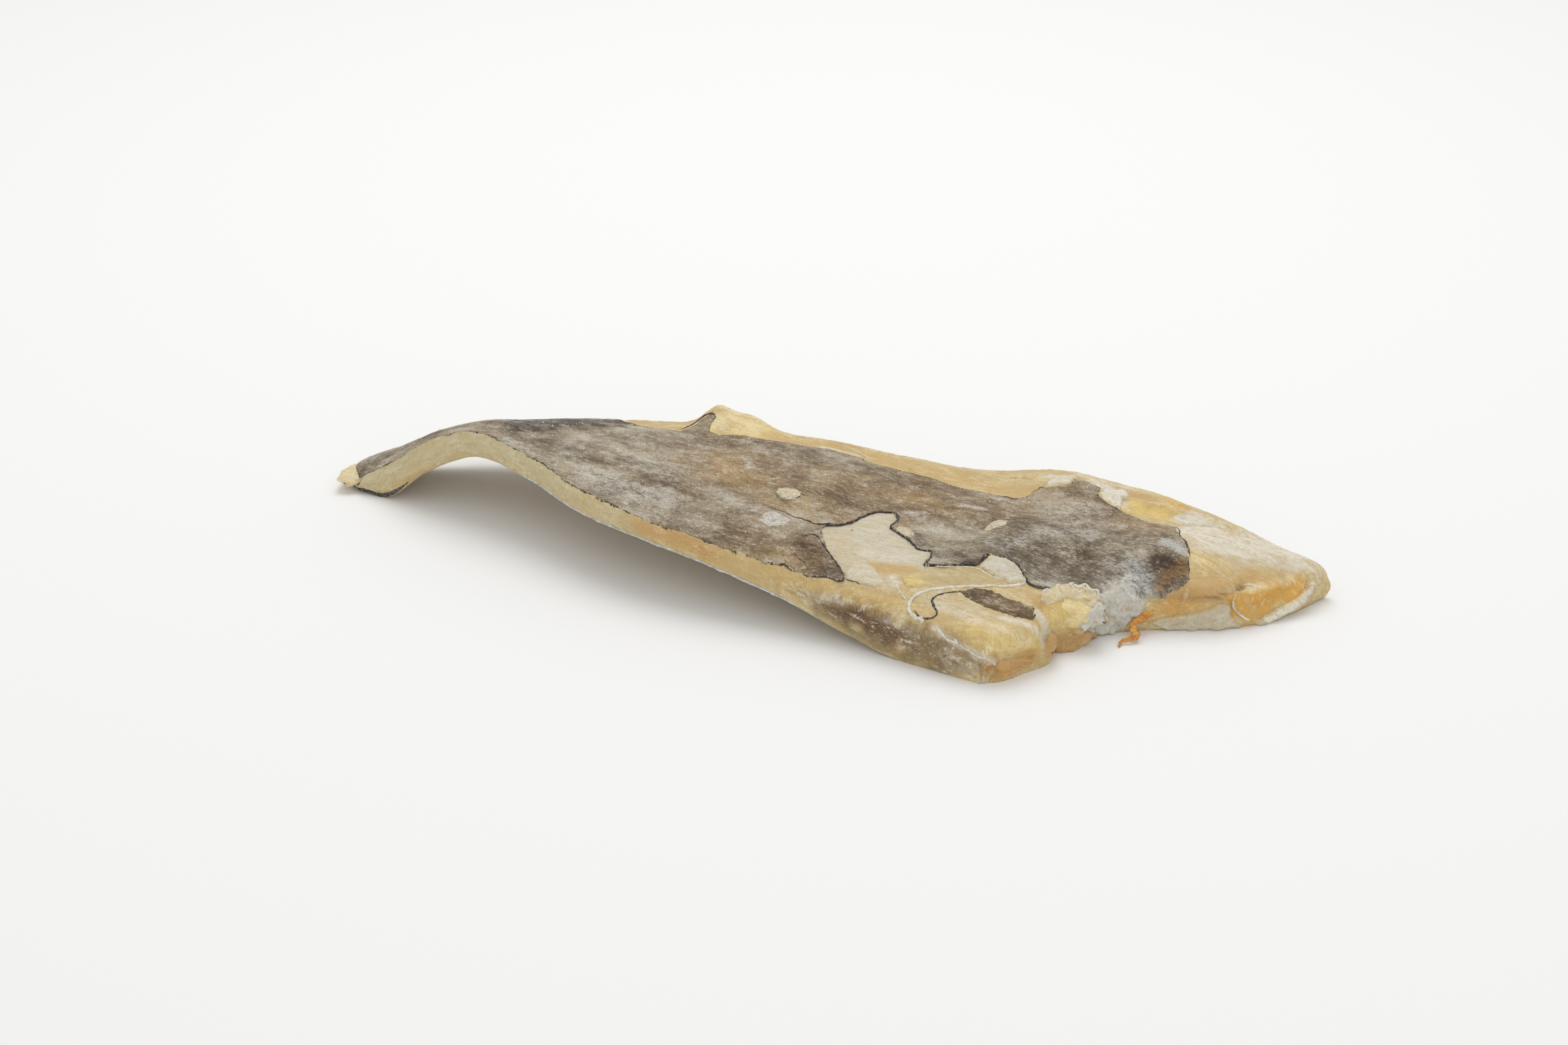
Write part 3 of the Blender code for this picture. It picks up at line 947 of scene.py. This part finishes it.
# White strands of torn membrane: the same
STRANDS = (
    (0.75, "1562,892 1570,884 1580,886 1588,878 1598,882 1608,875 1618,881 1628,877 1636,886 1646,886 "
     "1648,897 1654,904 1647,912"),
    (0.5, "1574,896 1584,890 1594,893 1604,887 1616,890 1626,888 1634,896"),
    (0.85, "1538,877 1520,879 1500,880 1470,880 1450,880 1412,883 1388,887 1373,894 1364,906 1364,916 "
     "1370,924 1379,930"),
    (0.35, "1344,874 1347,882 1353,892 1361,902"),
    (0.4, "1384,853 1410,850 1436,850 1462,852 1476,858 1490,866 1512,873"),
    (0.8, "1524,850 1533,862 1537,874 1526,878"), (0.9, "1376,925 1383,930 1381,936"),
    (0.6, "1383,924 1385,932"), (0.6, "1854,891 1850,904 1854,917 1864,925 1883,934"),
    (0.35, "1863,878 1874,877 1881,880 1884,888"), (0.7, "1405,940 1412,950 1422,960 1436,964 1430,956"),
    (0.55, "1436,966 1450,974 1470,986 1490,994 1494,1001"), (0.3, "1262,666 1290,680 1330,694"),
    (0.4, "1640,908 1654,918 1664,934 1672,946"), (0.5, "1672,892 1684,908 1686,926 1696,938"),
    (0.45, "1702,900 1706,914 1716,922"),
)

# Pale scales and bare spots on the skin: outlines in pixels
SCALES = (
    "1164,739 1169,733 1182,732 1196,735 1206,742 1192,747 1182,750 1172,746",
    "1344,795 1350,789 1364,793 1372,801 1366,807 1356,803",
    "1476,796 1484,786 1497,780 1512,781 1508,788 1494,791 1484,797",
)

# Films and flaps over the flesh and the skin: name, thickness, crumple, tints and outline
FILMS = (
    ("lens_film", 0.5, 0.2, {"beige": 0.9, "white": 0.35}, "1266,860 1280,846 1300,843 1312,851 1320,863 "
     "1326,873 1312,881 1290,876 1272,870"),
    ("yellow_lens", 0.7, 0.2, {"yellow": 0.9}, "1352,866 1370,861 1384,867 1392,876 1378,881 1360,881"),
    ("white_pad", 1.0, 0.8, {"pearl": 0.75, "white": 0.4}, "1468,850 1486,831 1510,838 1527,848 1537,866 "
     "1538,876 1515,876 1492,866"),
    ("lobe_end", 0.5, 0.6, {"white": 0.45, "beige": 0.5}, "1552,910 1566,918 1575,932 1578,950 1571,968 "
     "1562,976 1556,966 1560,948 1556,932 1548,922"),
    ("amber_flap", 1.6, 1.6, {"amber": 0.9, "rust": 0.2}, "1564,975 1570,952 1590,946 1620,942 1640,948 "
     "1654,956 1626,966 1608,978 1590,986 1568,986"),
    ("orange_corner", 1.0, 1.4, {"amber": 1.0}, "1490,1002 1500,990 1520,986 1552,984 1550,992 1536,1002 "
     "1520,1014 1502,1024 1484,1026"),
    ("edge_flap", 0.8, 0.4, {"amber": 0.6, "beige": 0.5}, "1770,908 1774,890 1783,874 1786,888 1778,906"),
    ("tip_lens", 0.6, 0.2, {"white": 0.95, "beige": 0.2}, "1750,782 1762,773 1778,768 1796,775 1818,790 "
     "1795,790 1768,788"),
    ("torn_fluff", 0.9, 1.0, {"white": 1.0}, "1566,732 1572,720 1584,713 1610,712 1622,716 1606,726 "
     "1584,730"),
    ("torn_fluff_right", 0.9, 2.2, {"white": 1.0}, "1648,744 1652,730 1668,728 1690,736 1696,748 "
     "1684,752 1682,766 1668,760"),
    # The white lip's strong grey tint is partly painted shade: it darkens the whole lip for the shade
    # where it curls under
    ("white_lip", 1.3, 1.0, {"white": 0.35, "beige": 0.4, "grey": 0.75}, "1722,934 1743,926 1780,920 "
     "1809,914 1834,904 1844,906 1846,922 1858,937 1876,939 1894,924 1914,913 1930,905 1946,895 "
     "1956,883 1961,870 1973,868 1970,888 1958,906 1940,918 1917,929 1896,942 1876,952 1845,955 "
     "1820,950 1786,948 1757,948"),
    ("lip_end", 2.0, 0.8, {"white": 1.0}, "1876,939 1894,924 1914,913 1930,905 1946,895 1956,883 "
     "1961,870 1972,872 1968,888 1956,905 1938,917 1914,929 1890,943"),
)

# Lumps of flesh: centre pixel, height of the centre above the table, radii along X, Y, Z
NOTCH_LUMPS = (
    ((1606, 918), 15.0, (14.0, 12.0, 10.0)),
    ((1586, 926), 9.0, (9.0, 8.0, 9.0)),
    ((1626, 924), 9.0, (9.0, 8.0, 7.0)),
)
LEFT_FLAP = (((532, 712), 6.0, (7.0, 13.0, 3.4)),)

# The twisted orange twig: pixels, heights above the table and radii
TWIG = "1726,918 1716,926 1702,934 1699,945 1704,953 1694,959 1683,962 1678,970"
TWIG_HEIGHTS = (10.0, 8.5, 7.0, 5.0, 3.6, 2.6, 1.8, 0.8)
TWIG_RADII = (2.4, 2.2, 1.7, 1.5, 2.3, 1.2, 0.9, 0.6)


class Form:
    """The lofted surface, onto which pixels are cast, and its plan with the edges folded out."""

    def __init__(self, points, quads, u, v, w):
        self.tree = BVHTree.FromPolygons(points.tolist(), quads.tolist())
        self.points, self.quads = points, quads
        down = flow_of(u, v, points)[:, 2]
        self.plan = points[:, :2].copy()
        self.plan[:, 0] += down * ((u >= 1.0) * 1.0 - (u <= 0.0))
        self.plan[:, 1] += down * ((v >= 1.0) * 1.0 - (v <= 0.0))
        inner = (u > 0) & (u < 1) & (v > 0) & (v < 1)
        self.plan[(w > 0.99) & inner] = OUTSIDE

    def plan_of(self, points):
        """Where points on or near the form fall in the folded-out plan."""
        found = []
        for place in points:
            near, _, index, _ = self.tree.find_nearest(Vector(place))
            corners = self.quads[index]
            weights = 1 / (np.linalg.norm(self.points[corners] - np.array(near), axis=1) + 0.01)
            found.append(weights @ self.plan[corners] / weights.sum())
        return np.array(found)


def tinted(form, points, plan, lines, areas, seed):
    """Fields of 0 to 1 from tints placed by pixels, with soft uneven borders."""
    uneven = fractal(points, 0.14, 3, seed)
    fields = {}

    def add(kind, depth, soft, strength):
        amount = strength * smooth(depth + uneven * soft * 0.9, -soft, soft)
        fields[kind] = np.maximum(fields.get(kind, 0.0), amount)

    for kind, rows in lines.items():
        for width, strength, text in rows:
            away = line_distance(points, cast_all(form.tree, pixels(text)))
            add(kind, width * 0.5 - away, width * 0.5, strength)
    for kind, rows in areas.items():
        for soft, strength, text in rows:
            edge = form.plan_of(cast_all(form.tree, pixels(text)))
            add(kind, signed_distance(plan, edge), soft, strength)
    return fields


def skin_outline(tree):
    """The skin's outline in the plan: the two long edges by the loft, the tears by pixels."""
    front = loft(np.linspace(*SKIN_ON_FRONT, 60), 0.0, 0.0) + (0, 0.5, 0)
    tears = [cast_all(tree, pixels(text)) for text in (FRONT_TEAR, HOLE, RIGHT_TEAR, BACK_TEAR)]
    back = loft(np.linspace(*SKIN_ON_BACK, 30), 1.0, 0.0) - (0, 1.5, 0)
    left = loft(0.0, np.linspace(0.9, 0.1, 8), 0.0) + (0.8, 0, 0)
    return np.concatenate([front, *tears, back, left])


def make_flesh(form, normals, u, v, w, outline, material):
    """The whole body under the skin, with the folds of its bare parts."""
    points = form.points
    flow = flow_of(u, v, points)
    covered = signed_distance(points, outline)
    upper = smooth(w, 0.25, 0.0)
    offset = -SKIN_THICK * smooth(covered, -5.0, -0.5) * upper
    for reach, height, text in FOLDS:
        line = cast_all(form.tree, pixels(text))
        offset += height * np.exp(-((line_distance(points, line) / reach) ** 2)) * smooth(w, 1.0, 0.85)
    bare = smooth(covered, 0.0, -4.0) * upper
    under = smooth(w, 0.9, 1.0)
    offset += bare * (0.40 * fractal(flow, (0.05, 0.28, 0.3), 4, 1) - 0.2)
    offset += bare * 0.25 * fractal(points, 0.35, 3, 14)
    offset += (1 - bare) * 0.28 * fractal(flow, (0.05, 0.3, 0.35), 3, 2)
    offset += under * (0.5 * fractal(flow, (0.03, 0.1, 0.1), 4, 3) - 0.3)
    offset = np.minimum(offset, 1.6)
    moved = points + normals * offset[:, None]
    moved[:, 2] = np.maximum(moved[:, 2], 0.0)
    resting = (points[:, 2] < 0.4) & (w > 0.99)
    moved[resting, 2] = points[resting, 2]

    fields = tinted(form, points, form.plan, FLESH_LINES, FLESH_AREAS, FLESH_SEED)
    belly = smooth(v, 0.05, 0.16) * smooth(v, 0.98, 0.88) * smooth(u, 0.02, 0.1) * smooth(u, 0.99, 0.9)
    back = (v >= 1.0) * smooth(w, 0.35, 0.9) * smooth(u, 0.15, 0.4) * 0.7
    fields["membrane"] = np.maximum(fields["membrane"], np.maximum(under * belly, back))
    fields["flow"] = flow
    obj = make_object("flesh", moved, form.quads.tolist(), fields, material)
    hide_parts("cod")
    return moved


def make_skin(form, outline, material):
    """The salted skin as a sheet with ragged edges, a torn hole and curled tears."""
    steps_u, steps_v = SKIN_STEPS
    u, v = np.meshgrid(np.linspace(0, 1, steps_u + 1), np.linspace(0, 1, steps_v + 1), indexing="ij")
    u, v = 0.3 * spread(u.ravel()) + 0.7 * u.ravel(), 0.4 * spread(v.ravel()) + 0.6 * v.ravel()
    points = loft(u, v, 0.0)
    quads = grid_faces(steps_u + 1, steps_v + 1)
    normals = normals_of(points, quads)
    flow = flow_of(u, v, points)
    torn = cast_all(form.tree, pixels(HOLE))
    near_hole = smooth(line_distance(points, torn), 8.0, 2.5)
    ragged = 0.55 * fractal(flow, 0.22, 3, 6) + 0.6 * fractal(flow, 0.8, 3, 7)
    depth = signed_distance(points, outline) + ragged * (1.0 - 0.7 * near_hole)
    curl = np.exp(-((depth / 2.0) ** 2)) * near_hole * 0.5
    relief = 0.20 * fractal(flow, (0.10, 0.22, 0.3), 4, 8) + 0.13 * fractal(flow, (0.5, 0.8, 0.9), 3, 9)
    thinned = -0.40 * smooth(depth, 2.0, 0.0) * (1 - near_hole)
    top = points + normals * (relief - 0.05 + curl + thinned)[:, None]
    under = points - normals * (SKIN_THICK + 0.5)
    fields = tinted(form, points, points[:, :2], SKIN_LINES, SKIN_AREAS, SKIN_SEED)
    fields["flow"] = flow
    fields["edge"] = depth
    shape = clipped_shell(top, under, quads, depth, fields)
    make_object("skin", *shape, material)
    return shape


def tapered(path, radius, rough, scale, seed, run):
    """Uneven radii along a path, which thin out over a run of points at each end."""
    ends = np.minimum(np.arange(len(path)), np.arange(len(path))[::-1]) / run
    radii = radius * (1 + rough * fractal(path, scale, 3, seed)) * (0.2 + 0.8 * smooth(ends, 0, 1))
    return np.maximum(radii, THINNEST_ROPE)


def make_ropes(name, tree, lines, material, flat, seed, steps=7, height=0.15):
    """Uneven thin rolls lying on the surface along lines of pixels."""
    shapes = []
    for k, (radius, text) in enumerate(lines):
        hits = [cast(tree, pixel) for pixel in pixels(text)]
        path = smooth_path(np.array([hit[0] for hit in hits]), steps)
        ups = smooth_path(np.array([hit[1] for hit in hits]), steps)
        ups /= np.linalg.norm(ups, axis=1, keepdims=True)
        for i, place in enumerate(path):
            path[i] = np.array(tree.find_nearest(Vector(place))[0])
        path += ups * radius * height
        wander = [fractal(path, 0.45, 2, seed + k + j * 3) for j in range(3)]
        path += 0.3 * np.stack(wander, -1) * (1, 1, 0.3)
        shapes.append(tube(path, ups, tapered(path, radius, 0.6, 0.5, seed + k, 5.0), flat))
    make_object(name, *merge(shapes), material)


def at_height(pixel, height):
    """The point on the photograph's ray through a pixel at a height above the table."""
    eye, ray = camera_ray(pixel)
    return eye + ray * (height - eye[2]) / ray[2]


def make_lumps(name, lumps, material, seed, rough, tints):
    """Uneven lumps of flesh, cut off flat at the table."""
    shapes = [blob(at_height(p, h), radii, seed + k, rough) for k, (p, h, radii) in enumerate(lumps)]
    points, faces, fields = merge(shapes)
    points[:, 2] = np.maximum(points[:, 2], 0.0)
    for kind, amount in tints.items():
        fields[kind] = np.full(len(points), amount)
    make_object(name, points, faces, fields, material)
    return points, faces, {}


def make_belly_line(material):
    """The thin film that shows along the lower front edge."""
    start, end = FILM_ON_FRONT
    u = np.linspace(start, end, 420)
    path = loft(u, 0.0, 0.95)
    path[:, 1] -= 0.1
    path[:, 2] += 0.4 * fractal(path, 0.12, 3, 12)
    outward = np.tile((0.0, -1.0, 0.0), (u.size, 1))
    radii = 0.6 * (1 + 0.7 * fractal(path, 0.25, 3, 13)) * smooth(u, start, 0.30) * smooth(u, end, 0.70)
    make_object("belly_line", *tube(path, outward, np.maximum(radii, 0.08), 0.55), material)


def make_tip_rind(material):
    """The dark line of skin that shows under the narrow tip."""
    side = loft(0.0, np.linspace(0.6, 0.02, 14), 0.7) + (-0.2, 0, 0)
    front = loft(np.linspace(0.0, 0.085, 26), 0.0, 0.92) + (0, -0.2, 0)
    path = np.concatenate([side, front])
    outward = np.tile((-0.4, -0.9, 0.0), (len(path), 1))
    make_object("tip_rind", *tube(path, outward, tapered(path, 1.1, 0.4, 0.3, 17, 8.0), 0.5), material)


def make_twig(material):
    """The twisted orange bit that hangs from the torn end to the table."""
    ends = np.array([at_height(pixel, height) for pixel, height in zip(pixels(TWIG), TWIG_HEIGHTS)])
    path = smooth_path(ends, 8)
    knots = np.arange(len(TWIG_RADII))
    radii = curve(np.linspace(0, len(knots) - 1, len(path)), knots, TWIG_RADII)
    radii *= 1 + 0.35 * fractal(path, 0.6, 3, 51)
    ups = np.tile((0.3, -0.9, 0.3), (len(path), 1))
    make_object("twig", *tube(path, ups, np.maximum(radii, 0.4), 0.7, sides=10), material)


def make_salt(tree, count=240):
    """Scattered grains of salt on the skin and the flesh."""
    draw = np.random.default_rng(7)
    shapes = []
    while len(shapes) < count:
        u, v = draw.uniform(0.03, 0.97), draw.uniform(0.03, 0.97)
        place = loft(u, v, 0.0)
        hit, normal, _, _ = tree.ray_cast(Vector((place[0], place[1], 100.0)), Vector((0, 0, -1)))
        if hit is None:
            continue
        size = 0.16 + 0.28 * draw.random() ** 2
        radii = size * draw.uniform(0.7, 1.4, 3)
        shapes.append(blob(np.array(hit) + np.array(normal) * size * 0.3, radii, len(shapes), 0.5, 5, 6))
    make_object("salt_grains", *merge(shapes), plain_material("cod_salt"), sharp=30.0)


def build_cod():
    u, v, w, quads = box_grid(*BODY_STEPS)
    points = loft(u, v, w)
    normals = normals_of(points, quads)
    form = Form(points, quads, u, v, w)
    outline = skin_outline(form.tree)
    flesh_paint, skin_paint = flesh_material(), skin_material()
    flesh = make_flesh(form, normals, u, v, w, outline, flesh_paint)
    skin_points, skin_faces, _ = make_skin(form, outline, skin_paint)
    notch = make_lumps("notch_lumps", NOTCH_LUMPS, flesh_paint, 91, 0.24, {"yellow": 1.0, "butter": 0.9})
    both, faces, _ = merge([(flesh, quads.tolist(), {}), (skin_points, skin_faces, {}), notch])
    dressed = BVHTree.FromPolygons(both.tolist(), faces)
    ruffle = draped(None, dressed, RUFFLE, {"yellow": 0.5, "beige": 0.6, "white": 0.3}, 0.9, 1.8, 33)
    make_object("ruffle", *ruffle, flesh_paint)
    sack = draped(None, dressed, GREY_SACK, {"pearl": 1.1, "white": 0.4}, 1.2, 2.6, 82, ragged=3.0)
    make_object("grey_sack", *sack, flesh_paint)

    scrap = draped(None, dressed, SECOND_PATCH, {"dark": 0.7, "warm": 0.9}, 0.6, 0.3, 31, ragged=2.0)
    make_object("skin_scrap", *scrap, skin_paint)
    for k, (name, thick, crumple, tints, outline) in enumerate(FILMS):
        film = draped(form, dressed, outline, tints, thick, crumple, FILM_SEED + k)
        make_object(name, *film, flesh_paint)
    scales = []
    for k, outline in enumerate(SCALES):
        scales.append(draped(None, dressed, outline, {}, 0.45, 0.1, SCALE_SEED + k))
    make_object("scales", *merge(scales), plain_material("cod_scale"))

    rim = plain_material("cod_rim")
    make_ropes("torn_rims", dressed, RIMS, rim, 0.7, 41)
    make_ropes("strands", dressed, STRANDS, plain_material("cod_film"), 0.6, 61)
    make_tip_rind(rim)
    make_lumps("left_flap", LEFT_FLAP, flesh_paint, 95, 0.22, {"butter": 0.5, "white": 0.3})
    make_twig(plain_material("cod_amber"))
    make_belly_line(plain_material("cod_edge_film"))
    make_salt(dressed)


def floor_material():
    paint = Paint("pale_floor", 0.85, specular=0.2)
    return paint.done(srgb(245, 245, 244))


def put(name, data, place, facing, axis):
    """A lamp or camera whose given axis points along the facing direction."""
    obj = bpy.data.objects.new(name, data)
    obj.location = place
    obj.rotation_euler = Vector(facing).to_track_quat(axis, "Y").to_euler()
    bpy.context.scene.collection.objects.link(obj)
    return obj


def make_stage():
    """A wide pale floor, soft light from above and behind, and the photograph's camera."""
    scene = bpy.context.scene
    bpy.ops.mesh.primitive_plane_add(size=FLOOR_WIDTH, location=(0, 0, 0))
    floor = bpy.context.object
    floor.name = "floor"
    floor.data.materials.append(floor_material())

    for name, place, width, power in LAMPS:
        lamp = bpy.data.lights.new(name, "AREA")
        lamp.shape = "DISK"
        lamp.size = width
        lamp.energy = power
        put(name, lamp, place, LIT_SPOT - Vector(place), "-Z")

    world = bpy.data.worlds.new("studio")
    scene.world = world
    world.use_nodes = True
    background = world.node_tree.nodes["Background"]
    background.inputs["Color"].default_value = (1.0, 1.0, 1.0, 1.0)
    background.inputs["Strength"].default_value = SKY_STRENGTH

    _, _, back = camera_axes()
    lens = bpy.data.cameras.new("camera")
    lens.lens = LENS
    lens.sensor_width = SENSOR
    scene.camera = put("camera", lens, (AIM + CAMERA_DISTANCE * back) * MM, back, "Z")
    scene.view_settings.view_transform = "Standard"


build_cod()
make_stage()
